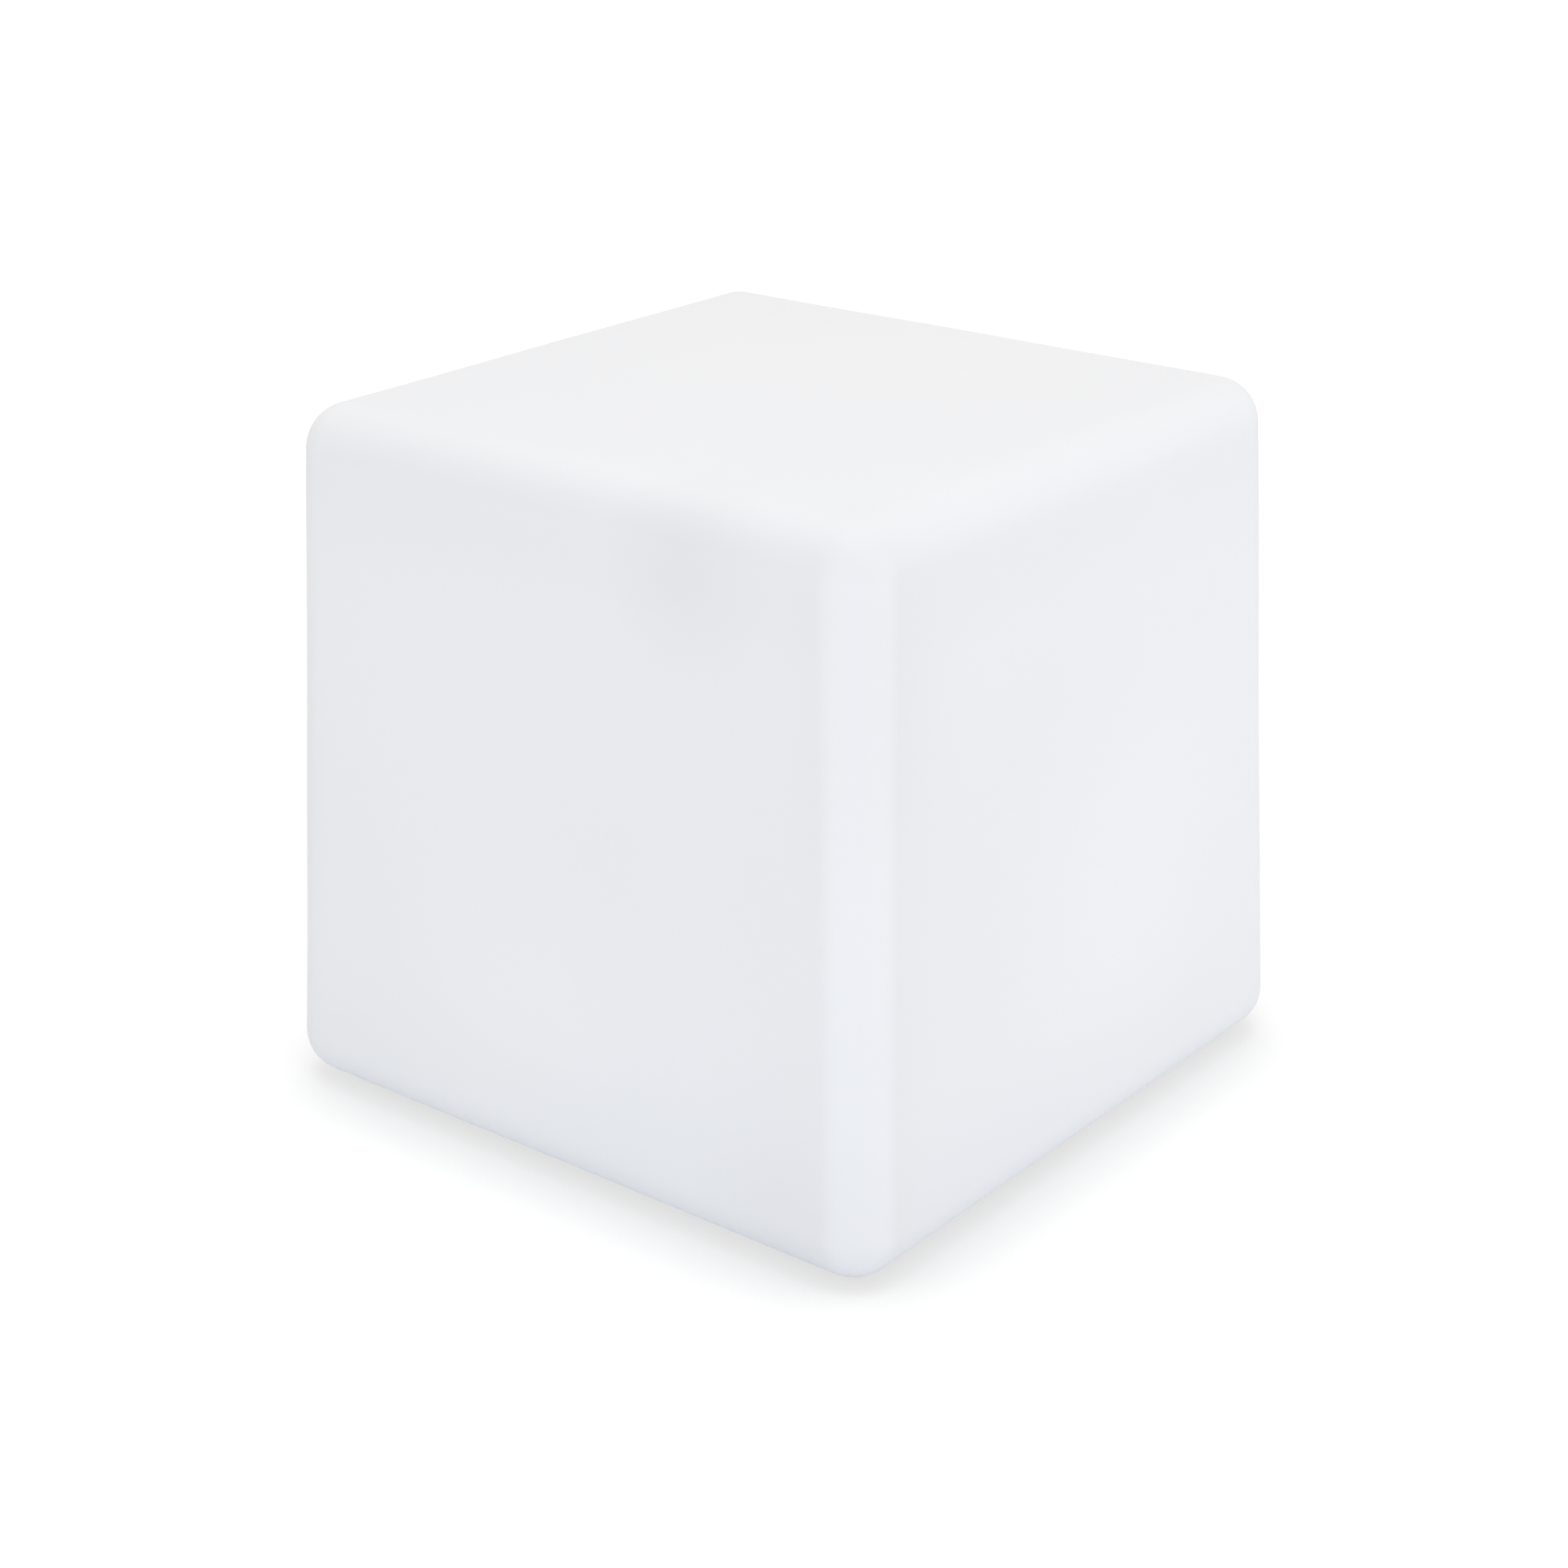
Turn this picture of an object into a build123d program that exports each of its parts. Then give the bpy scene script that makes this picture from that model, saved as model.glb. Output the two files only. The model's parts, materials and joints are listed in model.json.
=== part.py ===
from build123d import *
import math
import os

# A rotomoulded white cube lamp for the garden. A translucent polyethylene shell stands on four
# rubber feet. A round light module is screwed into a recess in its base: a moulded housing that
# holds the battery, the control board, the power button and the charging socket, with the lamp
# board and a clear dome on top. Millimetres, +Z up, origin on the floor under the cube's middle.

# ---------------------------------------------------------------- shell
overall_height = 400.0
mid_width = 404.0  # across the X sides, half way up the shell
mid_depth = 395.5  # across the Y sides, half way up the shell
draft_angle = 2.5  # each side leans in towards the top
edge_radius = 26.0
wall = 4.0
recess_depth = 9.0  # the base recess that keeps the module off the floor
recess_lip_radius = 3.0
ledge_width = 27.0  # from the edge of the opening out to the recess wall
opening_room = 3.1  # between the module's dome posts and the edge of the opening

# ---------------------------------------------------------------- feet
foot_radius = 11.0
foot_proud = 1.5
foot_pocket_depth = 1.0
foot_edge = 0.5
foot_inset = 62.0  # from the shell's side at the floor to the foot's centre

# ---------------------------------------------------------------- module fixing
screw_count = 6
flange_screw_inset = 11.0  # from the edge of the opening out to the screws
flange_screw_radius = 2.0
flange_screw_length = 12.0
flange_head_radius = 4.0
flange_head_height = 2.4
screw_hole_clearance = 0.25
insert_radius = 3.5
insert_length = 9.0
thread_clearance = 0.05
insert_cover = 3.0  # polyethylene round and over each moulded-in insert
insert_groove = 0.4  # depth of the groove round its middle, and half its width
head_rounding = 0.45  # these four are shares of each screw head's height or radius
slot_depth = 0.5
slot_width = 0.32
slot_length = 1.15

# ---------------------------------------------------------------- module housing
flange_margin = 10.0  # from the screws out to the flange's edge
flange_thickness = 3.0
flange_chamfer = 1.0
gasket_thickness = 1.5
gasket_margin = 1.0
cup_room = 1.4  # between the cup's bore and the corners of the battery cradle
cup_wall = 4.5
cup_height = 44.0  # from the housing's underside to the rim that carries the dome seal
floor_thickness = 2.5
dome_post_offset = 3.2  # from the cup's outside to the centres of the posts along it
dome_post_radius = 4.7
small_screw_radius = 1.5
small_head_radius = 2.8
small_head_height = 1.8
small_screw_length = 10.0
pilot_clearance = 0.05
pilot_extra = 1.0  # each pilot hole runs this far past its screw's tip

# ---------------------------------------------------------------- dome
dome_seal_thickness = 1.5
dome_flange_thickness = 3.0
dome_wall = 2.0
dome_rise = 34.0  # above its flange
dome_crown_radius = 18.0

# ---------------------------------------------------------------- lamp board
spreader_gap = 4.5  # between the spreader's edge and the cup's bore
spreader_thickness = 2.0
lamp_board_inset = 3.0  # inside the spreader's edge
lamp_board_thickness = 1.6
lamp_post_inset = 4.0  # from the board's edge in to the centres of its posts
lamp_post_radius = 3.5
lamp_post_angles = (30.0, 150.0, 210.0, 330.0)
lamp_board_drop = 2.0  # its spreader's top under the housing rim
chip_side = 5.0
chip_height = 1.6
chip_well_radius = 2.0
chip_well_depth = 0.5
chip_rings = ((16, 42.0), (8, 22.0))  # (how many, ring radius)
receiver_width = 6.0
receiver_depth = 5.0
receiver_height = 7.0
receiver_eye_radius = 1.8
receiver_eye_height = 4.2
lead_hole_radius = 5.0
lead_hole_place = (0.0, -46.0)
lead_pad_y = -38.0  # where the lamp wires land on the lamp board
lead_rise = 4.5  # how far they stand above it

# ---------------------------------------------------------------- control board
board_length = 72.0
board_width = 34.0
board_thickness = 1.6
board_corner = 2.0
board_centre = (0.0, -31.0)
board_standoff = 8.5
board_post_radius = 3.0
board_post_inset = 5.0
board_screw_radius = 1.25
board_head_radius = 2.3
board_head_height = 1.5
board_screw_length = 8.0

# ---------------------------------------------------------------- power button
button_place = (-20.0, -31.0)
button_radius = 6.0
button_proud = 1.5
button_collar_lip = 2.0  # how far the collar stands out round the button
button_collar_height = 1.2
button_stem_radius = 2.0
button_clearance = 0.15
button_travel = 1.0
button_edge = 0.6
button_dish_radius = 4.0
button_dish_depth = 0.4
seal_width = 1.5
seal_height = 1.0
seal_clearance = 0.05
switch_side = 6.0
switch_height = 3.5
plunger_radius = 1.6
plunger_length = 1.5
plunger_depth = 1.2  # how far it runs inside the switch body
plunger_clearance = 0.1
plunger_end_room = 0.3  # left above the plunger at the end of its travel

# ---------------------------------------------------------------- charging socket and its flap
socket_place = (0.0, -3.5)
socket_barrel_radius = 4.0
socket_rim_radius = 5.5
socket_rim_thickness = 1.0
socket_bore_radius = 2.8
socket_bore_depth = 10.0
socket_pin_radius = 1.0
socket_pin_setback = 2.6
socket_length = 14.0
lug_spread = 2.4
lug_width = 2.0
lug_thickness = 0.5
lug_height = 4.0
nut_across_flats = 11.0
nut_thickness = 2.5
flap_length = 20.0
flap_width = 16.0
flap_thickness = 2.0
flap_corner = 4.0
flap_gap = 0.3  # between the shut flap and what it covers
skirt_gap = 0.5  # between the flap's skirt and the socket's rim
skirt_inset = 1.0  # from the flap's edge to its skirt
flap_plug_radius = 2.35
flap_plug_length = 2.2
flap_plug_edge = 0.4
flap_tab = 4.0
flap_tab_corner = 3.2
hinge_pin_radius = 0.75
hinge_barrel_radius = 1.9
hinge_clearance = 0.05
hinge_ear_width = 3.0
hinge_side_gap = 0.3
hinge_drop = 2.3  # the pin's centre below the housing's underside
hinge_reach = 12.0  # from the socket's centre to the pin's centre

# ---------------------------------------------------------------- charge indicator
indicator_place = (20.0, -31.0)
pipe_radius = 1.5
pipe_head_radius = 2.5
pipe_head_thickness = 0.8
pipe_head_edge = 0.5
indicator_side = 3.0
indicator_height = 1.0

# ---------------------------------------------------------------- battery
cell_radius = 9.2
cell_length = 65.2
cell_edge = 0.8
cell_gap = 1.6  # between the two cells
cell_nub_radius = 3.0
cell_nub_height = 0.8
battery_centre_y = 28.5
cradle_floor = 2.0
cradle_wall = 2.0
cradle_height = 9.0
cradle_end_gap = 1.5
cradle_saddle_drop = 5.0  # from the cells' centres down to the cut ridge between them
tab_width = 7.0
tab_thickness = 0.3
clamp_width = 14.0
clamp_thickness = 2.5
clamp_screw_length = 8.0
clamp_places_x = (-16.0, 16.0)
clamp_post_lap = 1.0  # how far each clamp post runs into the cradle's wall

# ---------------------------------------------------------------- board components and wires
chip_length = 10.0
chip_width = 6.2
chip_body_height = 1.75
chip_mark_inset = 1.2
chip_mark_radius = 0.5
chip_mark_depth = 0.3
chip_place = (2.0, -36.0)
capacitor_radius = 4.0
capacitor_height = 11.0
capacitor_edge = 0.6
capacitor_places = ((-12.0, -41.0), (16.0, -22.0))
connector_length = 8.0
connector_width = 6.0
connector_height = 6.0
battery_connector_place = (-26.0, -24.0)
lamp_connector_place = (24.0, -40.0)
plug_hole_depth = 2.0
wire_radius = 0.8
wire_gap = 2.4
wire_bend = 2.4  # the radius that the wires turn on
battery_wire_y = 17.0
battery_wire_reach = 5.0  # from each end strip out to where its wire turns up
wire_room = 0.3  # between the lower battery wire and the screw heads that it crosses
wire_level_step = 3.2  # from the lower battery wire up to the upper one
lamp_wire_rise = 10.0  # above its plug
socket_wire_rise = 6.0  # above the socket's lugs
socket_wire_y = -18.0

# ---------------------------------------------------------------- sizes that follow the battery
cell_pitch = 2 * cell_radius + cell_gap
cradle_length = cell_length + 2 * (cell_nub_height + tab_thickness + cradle_end_gap + cradle_wall)
cradle_width = cell_pitch + 2 * (cell_radius + cradle_wall)
cup_bore_radius = (
    math.hypot(cradle_length / 2, battery_centre_y + cradle_width / 2) + cup_room
)
cup_radius = cup_bore_radius + cup_wall
dome_radius = cup_radius - dome_wall
dome_post_circle_radius = cup_radius + dome_post_offset
opening_radius = dome_post_circle_radius + dome_post_radius + opening_room
screw_circle_radius = opening_radius + flange_screw_inset
flange_radius = screw_circle_radius + flange_margin
recess_radius = opening_radius + ledge_width
spreader_radius = cup_bore_radius - spreader_gap
lamp_board_radius = spreader_radius - lamp_board_inset
lamp_post_circle_radius = lamp_board_radius - lamp_post_inset
button_collar_radius = button_radius + button_collar_lip

# ---------------------------------------------------------------- heights that follow
shell_height = overall_height - foot_proud
shell_base_z = foot_proud
ledge_z = shell_base_z + recess_depth
ledge_top_z = ledge_z + wall
flange_top_z = ledge_z - gasket_thickness
flange_z = flange_top_z - flange_thickness
floor_top_z = flange_z + floor_thickness
rim_z = flange_z + cup_height
dome_flange_z = rim_z + dome_seal_thickness
dome_body_z = dome_flange_z + dome_flange_thickness
spreader_top_z = rim_z - lamp_board_drop
spreader_z = spreader_top_z - spreader_thickness
lamp_board_top_z = spreader_top_z + lamp_board_thickness
board_z = floor_top_z + board_standoff
board_top_z = board_z + board_thickness
switch_face_z = board_z - switch_height
cell_centre_z = floor_top_z + cradle_floor + cell_radius
cell_top_z = cell_centre_z + cell_radius
clamp_top_z = cell_top_z + clamp_thickness
low_wire_z = clamp_top_z + small_head_height + wire_room + wire_radius
flap_top_z = flange_z - socket_rim_thickness - flap_gap
hinge_z = flange_z - hinge_drop
hinge_y = socket_place[1] - hinge_reach


def half_across(size, z):
    """Half the shell's outside size at a height, where it is this size half way up."""
    mid_z = shell_base_z + shell_height / 2
    return size / 2 - (z - mid_z) * math.tan(math.radians(draft_angle))


def at(place, z):
    return Pos(place[0], place[1], z)


def rod(place, radius, low, high):
    """An upright round rod from one height to another."""
    return at(place, low) * extrude(Circle(radius), amount=high - low)


def ring(place, outer, inner, low, high):
    return rod(place, outer, low, high) - rod(place, inner, low, high)


def block(place, length, width, low, high):
    return at(place, low) * extrude(Rectangle(length, width), amount=high - low)


def hexagon(place, across_flats, low, high):
    outline = RegularPolygon(across_flats / 2, 6, major_radius=False)
    return at(place, low) * extrude(outline, amount=high - low)


def circle_places(radius, count, start=0.0):
    turns = [math.radians(start + 360.0 * i / count) for i in range(count)]
    return [(radius * math.cos(a), radius * math.sin(a)) for a in turns]


def angle_places(radius, angles):
    turns = [math.radians(a) for a in angles]
    return [(radius * math.cos(a), radius * math.sin(a)) for a in turns]


def group(solids):
    return Compound(children=list(solids))


flange_screw_places = circle_places(screw_circle_radius, screw_count)
dome_screw_places = circle_places(dome_post_circle_radius, screw_count, 180.0 / screw_count)
lamp_post_places = angle_places(lamp_post_circle_radius, lamp_post_angles)
board_post_places = [
    (
        board_centre[0] + side * (board_length / 2 - board_post_inset),
        board_centre[1] + end * (board_width / 2 - board_post_inset),
    )
    for side in (-1, 1)
    for end in (-1, 1)
]
foot_x = half_across(mid_width, shell_base_z) - foot_inset
foot_y = half_across(mid_depth, shell_base_z) - foot_inset
foot_places = [(x * foot_x, y * foot_y) for x in (-1, 1) for y in (-1, 1)]
cell_rows = [battery_centre_y - cell_pitch / 2, battery_centre_y + cell_pitch / 2]
strip_face_x = (
    -cell_length / 2 - tab_thickness,
    cell_length / 2 + cell_nub_height + tab_thickness,
)
clamp_screw_offset = cradle_width / 2 + small_head_radius - clamp_post_lap
clamp_screw_places = [
    (x, battery_centre_y + side * clamp_screw_offset) for x in clamp_places_x for side in (-1, 1)
]


# ================================================================ shell and what is moulded in
def tapered_block(low, high, inset, radius):
    """A block that follows the shell's leaning sides, every edge rounded."""
    outline = Rectangle(
        2 * (half_across(mid_width, low) - inset), 2 * (half_across(mid_depth, low) - inset)
    )
    body = Pos(0, 0, low) * extrude(outline, amount=high - low, taper=draft_angle)
    return fillet(body.edges(), radius)


def shell():
    """The one-piece cube: its base turns up round a recess, and bosses cover the inserts."""
    side_inset = wall / math.cos(math.radians(draft_angle))
    top_z = shell_base_z + shell_height
    body = tapered_block(shell_base_z, top_z, 0.0, edge_radius)
    hollow = tapered_block(shell_base_z + wall, top_z - wall, side_inset, edge_radius - wall)
    hollow -= rod((0, 0), recess_radius + wall, shell_base_z, ledge_top_z)
    for place in flange_screw_places:
        boss_top = ledge_z + insert_length + insert_cover
        hollow -= rod(place, insert_radius + insert_cover, shell_base_z, boss_top)
    body -= hollow
    body -= rod((0, 0), recess_radius, shell_base_z, ledge_z)
    mouth = body.edges().filter_by(GeomType.CIRCLE).filter_by(
        lambda e: abs(e.radius - recess_radius) < 0.01 and abs(e.center().Z - shell_base_z) < 0.01
    )
    body = fillet(mouth, recess_lip_radius)
    body -= rod((0, 0), opening_radius, ledge_z, ledge_top_z)
    for place in flange_screw_places:
        body -= rod(place, insert_radius, ledge_z, ledge_z + insert_length)
    for place in foot_places:
        body -= rod(place, foot_radius, shell_base_z, shell_base_z + foot_pocket_depth)
    return body


def threaded_inserts():
    """Brass bushes in the shell's bosses, each with a knurl groove round its middle."""
    made = []
    for place in flange_screw_places:
        bush = rod(place, insert_radius, ledge_z, ledge_z + insert_length)
        bush -= rod(
            place, flange_screw_radius + thread_clearance, ledge_z, ledge_z + insert_length
        )
        middle = ledge_z + insert_length / 2
        low, high = middle - insert_groove, middle + insert_groove
        bush -= ring(place, insert_radius, insert_radius - insert_groove, low, high)
        made.append(bush)
    return group(made)


def rubber_feet():
    made = []
    for place in foot_places:
        foot = rod(place, foot_radius, 0.0, foot_proud + foot_pocket_depth)
        low_rim = foot.edges().group_by(Axis.Z)[0]
        made.append(fillet(low_rim, foot_edge))
    return group(made)


# ================================================================ module housing
def hinge_plane(x):
    """The plane across the hinge line at x, with its own Y pointing up."""
    return Plane(origin=(x, hinge_y, hinge_z), x_dir=(0, 1, 0), z_dir=(1, 0, 0))


def flange_gasket():
    body = ring(
        (0, 0), flange_radius - gasket_margin, opening_radius + gasket_margin, flange_top_z, ledge_z
    )
    for place in flange_screw_places:
        body -= rod(place, flange_screw_radius + screw_hole_clearance, flange_top_z, ledge_z)
    return body


def hinge_ears():
    """Two ears under the housing floor that hold the flap's pin."""
    made = []
    barrel_half = flap_width / 2 - hinge_ear_width - hinge_side_gap
    for side in (-1, 1):
        x = socket_place[0] + side * (barrel_half + hinge_side_gap + hinge_ear_width / 2)
        profile = Rectangle(2 * hinge_barrel_radius, hinge_drop, align=(Align.CENTER, Align.MIN))
        profile += Circle(hinge_barrel_radius)
        ear = extrude(profile, amount=hinge_ear_width / 2, both=True)
        made.append(hinge_plane(x) * ear)
    return made


def hinge_bore(radius, half_length):
    """A round bar along the hinge line, for the pin and its holes."""
    return hinge_plane(socket_place[0]) * extrude(Circle(radius), amount=half_length, both=True)


def module_housing():
    """Flange and cup in one moulding, with every post, hole and hinge ear that it carries."""
    body = rod((0, 0), flange_radius, flange_z, flange_top_z)
    body = chamfer(body.edges().group_by(Axis.Z)[0], flange_chamfer)
    body += rod((0, 0), cup_radius, flange_z, rim_z)
    for place in dome_screw_places:
        body += rod(place, dome_post_radius, flange_z, dome_flange_z)
    body -= rod((0, 0), cup_radius, rim_z, dome_flange_z)
    body -= rod((0, 0), cup_bore_radius, floor_top_z, rim_z)
    for place in lamp_post_places:
        body += rod(place, lamp_post_radius, floor_top_z, spreader_z)
    for place in board_post_places:
        body += rod(place, board_post_radius, floor_top_z, board_z)
    for ear in hinge_ears():
        body += ear
    for place in flange_screw_places:
        body -= rod(place, flange_screw_radius + screw_hole_clearance, flange_z, flange_top_z)
    pilot_radius = small_screw_radius + pilot_clearance
    pilot_depth = small_screw_length + pilot_extra
    for place in dome_screw_places:
        body -= rod(place, pilot_radius, dome_body_z - pilot_depth, dome_flange_z)
    for place in lamp_post_places:
        body -= rod(place, pilot_radius, lamp_board_top_z - pilot_depth, spreader_z)
    board_pilot_z = board_top_z - board_screw_length - pilot_extra
    for place in board_post_places:
        body -= rod(place, board_screw_radius + pilot_clearance, board_pilot_z, board_z)
    seal_middle = (flange_z + floor_top_z) / 2
    body -= rod(button_place, button_radius + button_clearance, flange_z, floor_top_z)
    body -= rod(
        button_place,
        button_radius + seal_clearance + seal_width,
        seal_middle - seal_height / 2,
        seal_middle + seal_height / 2,
    )
    body -= rod(socket_place, socket_barrel_radius, flange_z, floor_top_z)
    body -= rod(indicator_place, pipe_radius, flange_z, floor_top_z)
    body -= hinge_bore(hinge_pin_radius, flap_width / 2)
    return body


def pan_screw(place, radius, head_radius, head_height, seat_z, length, up):
    """A pan head screw whose head sits on seat_z: up is 1 if its shank points up, or else -1."""
    shank = rod((0, 0), radius, 0.0, length)
    head = rod((0, 0), head_radius, -head_height, 0.0)
    head = fillet(head.edges().group_by(Axis.Z)[0], head_height * head_rounding)
    slot_top = head_height * (slot_depth - 1)
    for turn in (0, 90):
        slot = block(
            (0, 0), head_radius * slot_length, head_radius * slot_width, -head_height, slot_top
        )
        head -= Rot(0, 0, turn) * slot
    body = head + shank
    if up < 0:
        body = Rot(180, 0, 0) * body
    return at(place, seat_z) * body


def flange_screws():
    return group(
        pan_screw(
            place,
            flange_screw_radius,
            flange_head_radius,
            flange_head_height,
            flange_z,
            flange_screw_length,
            1,
        )
        for place in flange_screw_places
    )


# ================================================================ dome
def light_dome():
    """The clear cover over the lamp board: a flange with six ears and a round-crowned cap."""
    body = rod((0, 0), cup_radius, dome_flange_z, dome_body_z)
    for place in dome_screw_places:
        body += rod(place, dome_post_radius, dome_flange_z, dome_body_z)
    top_z = dome_body_z + dome_rise
    cap = rod((0, 0), dome_radius, dome_flange_z, top_z)
    cap = fillet(cap.edges().group_by(Axis.Z)[-1], dome_crown_radius)
    room = rod((0, 0), dome_radius - dome_wall, dome_flange_z, top_z - dome_wall)
    room = fillet(room.edges().group_by(Axis.Z)[-1], dome_crown_radius - dome_wall)
    body = body + cap - room
    for place in dome_screw_places:
        body -= rod(place, small_screw_radius + screw_hole_clearance, dome_flange_z, dome_body_z)
    return body


def dome_seal():
    return ring((0, 0), cup_radius, cup_bore_radius, rim_z, dome_flange_z)


def small_screws(places, seat_z, length=small_screw_length):
    """Small pan head screws whose shanks point down."""
    return group(
        pan_screw(
            place, small_screw_radius, small_head_radius, small_head_height, seat_z, length, -1
        )
        for place in places
    )


# ================================================================ lamp board
def lamp_disc(radius, low, high):
    """A disc on the lamp posts, with its screw holes and the hole for the leads."""
    body = rod((0, 0), radius, low, high) - rod(lead_hole_place, lead_hole_radius, low, high)
    for place in lamp_post_places:
        body -= rod(place, small_screw_radius + screw_hole_clearance, low, high)
    return body


def heat_spreader():
    """The aluminium disc under the lamp board."""
    return lamp_disc(spreader_radius, spreader_z, spreader_top_z)


def led_board():
    return lamp_disc(lamp_board_radius, spreader_top_z, lamp_board_top_z)


def led_chips():
    """Square lamp packages in two rings, each with a round well in its face."""
    made = []
    for count, radius in chip_rings:
        for place in circle_places(radius, count, 180.0 / count):
            turn = math.degrees(math.atan2(place[1], place[0]))
            chip = block((0, 0), chip_side, chip_side, 0.0, chip_height)
            chip -= rod((0, 0), chip_well_radius, chip_height - chip_well_depth, chip_height)
            made.append(at(place, lamp_board_top_z) * Rot(0, 0, turn) * chip)
    return group(made)


def ir_receiver():
    """The remote control's receiver, upright at the middle of the lamp board."""
    top_z = lamp_board_top_z + receiver_height
    body = block((0, 0), receiver_width, receiver_depth, lamp_board_top_z, top_z)
    eye_z = lamp_board_top_z + receiver_eye_height
    return body + Pos(0, -receiver_depth / 2, eye_z) * Sphere(receiver_eye_radius)


# ================================================================ control board and its components
def control_board():
    body = block(board_centre, board_length, board_width, board_z, board_top_z)
    body = fillet(body.edges().filter_by(Axis.Z), board_corner)
    for place in board_post_places:
        body -= rod(place, board_screw_radius + screw_hole_clearance, board_z, board_top_z)
    return body


def control_board_screws():
    return group(
        pan_screw(
            place,
            board_screw_radius,
            board_head_radius,
            board_head_height,
            board_top_z,
            board_screw_length,
            -1,
        )
        for place in board_post_places
    )


def controller_chip():
    top_z = board_top_z + chip_body_height
    body = block(chip_place, chip_length, chip_width, board_top_z, top_z)
    mark = (
        chip_place[0] - chip_length / 2 + chip_mark_inset,
        chip_place[1] - chip_width / 2 + chip_mark_inset,
    )
    return body - rod(mark, chip_mark_radius, top_z - chip_mark_depth, top_z)


def capacitors():
    made = []
    for place in capacitor_places:
        can = rod(place, capacitor_radius, board_top_z, board_top_z + capacitor_height)
        made.append(fillet(can.edges().group_by(Axis.Z)[-1], capacitor_edge))
    return group(made)


def board_connectors():
    """Two upright plug housings, each with a row of wire holes along its top."""
    made = []
    for place in (battery_connector_place, lamp_connector_place):
        top_z = board_top_z + connector_height
        body = block(place, connector_length, connector_width, board_top_z, top_z)
        for side in (-1, 1):
            hole = (place[0] + side * wire_gap / 2, place[1])
            body -= rod(hole, wire_radius, top_z - plug_hole_depth, top_z)
        made.append(body)
    return group(made)


def power_switch():
    body = block(button_place, switch_side, switch_side, switch_face_z, board_z)
    return body - rod(
        button_place,
        plunger_radius + plunger_clearance,
        switch_face_z,
        switch_face_z + plunger_depth + button_travel + plunger_end_room,
    )


def switch_plunger():
    return rod(
        button_place, plunger_radius, switch_face_z - plunger_length, switch_face_z + plunger_depth
    )


def power_button():
    """Round cap with a collar inside the housing that stops it, and a stem to the switch."""
    cap_z = flange_z - button_proud
    cap = rod(button_place, button_radius, cap_z, floor_top_z)
    cap = fillet(cap.edges().group_by(Axis.Z)[0], button_edge)
    dish_radius = (button_dish_radius**2 + button_dish_depth**2) / (2 * button_dish_depth)
    cap -= at(button_place, cap_z + button_dish_depth - dish_radius) * Sphere(dish_radius)
    collar = rod(
        button_place, button_collar_radius, floor_top_z, floor_top_z + button_collar_height
    )
    stem = rod(button_place, button_stem_radius, floor_top_z, switch_face_z - plunger_length)
    return cap + collar + stem


def button_seal():
    middle = (flange_z + floor_top_z) / 2
    inner = button_radius + seal_clearance
    return ring(
        button_place, inner + seal_width, inner, middle - seal_height / 2, middle + seal_height / 2
    )


def indicator_led():
    low = board_z - indicator_height
    return block(indicator_place, indicator_side, indicator_side, low, board_z)


def light_pipe():
    """A clear pin that carries the indicator's light down through the housing floor."""
    head = rod(
        indicator_place, pipe_head_radius, flange_z - pipe_head_thickness, flange_z
    )
    head = fillet(head.edges().group_by(Axis.Z)[0], pipe_head_edge)
    return head + rod(indicator_place, pipe_radius, flange_z, board_z - indicator_height)


# ================================================================ charging socket and its flap
def charging_jack():
    """Panel socket: a rim outside the floor, a threaded barrel, a centre pin and two lugs."""
    rim_low = flange_z - socket_rim_thickness
    top_z = flange_z + socket_length
    body = rod(socket_place, socket_rim_radius, rim_low, flange_z)
    body += rod(socket_place, socket_barrel_radius, flange_z, top_z)
    body -= rod(socket_place, socket_bore_radius, rim_low, rim_low + socket_bore_depth)
    body += rod(
        socket_place, socket_pin_radius, rim_low + socket_pin_setback, rim_low + socket_bore_depth
    )
    for side in (-1, 1):
        lug = (socket_place[0] + side * lug_spread, socket_place[1])
        body += block(lug, lug_thickness, lug_width, top_z, top_z + lug_height)
    return body


def jack_nut():
    nut = hexagon(socket_place, nut_across_flats, floor_top_z, floor_top_z + nut_thickness)
    return nut - rod(
        socket_place, socket_barrel_radius, floor_top_z, floor_top_z + nut_thickness
    )


def port_flap():
    """Soft flap over the socket: plate, skirt, short plug, finger tab and hinge barrel."""
    low = flap_top_z - flap_thickness
    plate = block(socket_place, flap_width, flap_length, low, flap_top_z)
    plate = fillet(plate.edges().filter_by(Axis.Z), flap_corner)
    skirt_top = flange_z - flap_gap
    skirt_side = flap_width - 2 * skirt_inset
    skirt = block(socket_place, skirt_side, skirt_side, flap_top_z, skirt_top)
    skirt = fillet(skirt.edges().filter_by(Axis.Z), flap_corner - skirt_inset)
    skirt -= rod(socket_place, socket_rim_radius + skirt_gap, flap_top_z, skirt_top)
    plug = rod(socket_place, flap_plug_radius, flap_top_z, flap_top_z + flap_plug_length)
    plug = fillet(plug.edges().group_by(Axis.Z)[-1], flap_plug_edge)
    tab_y = socket_place[1] + flap_length / 2
    tab = block((socket_place[0], tab_y), flap_width / 2, 2 * flap_tab, low, flap_top_z)
    tab = fillet(tab.edges().filter_by(Axis.Z), flap_tab_corner)
    barrel_half = flap_width / 2 - hinge_ear_width - hinge_side_gap
    body = plate + skirt + plug + tab
    ear_room = hinge_barrel_radius + hinge_side_gap
    for side in (-1, 1):
        x = socket_place[0] + side * flap_width / 2
        notch_width = 2 * (hinge_ear_width + 2 * hinge_side_gap)
        body -= block(
            (x, hinge_y + ear_room - flap_length / 2), notch_width, flap_length, low, flange_z
        )
    barrel = hinge_bore(hinge_barrel_radius, barrel_half)
    web = block(
        (socket_place[0], hinge_y + hinge_reach / 4),
        2 * barrel_half,
        hinge_reach / 2,
        low,
        flap_top_z,
    )
    return body + barrel + web - hinge_bore(hinge_pin_radius + hinge_clearance, barrel_half)


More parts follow.
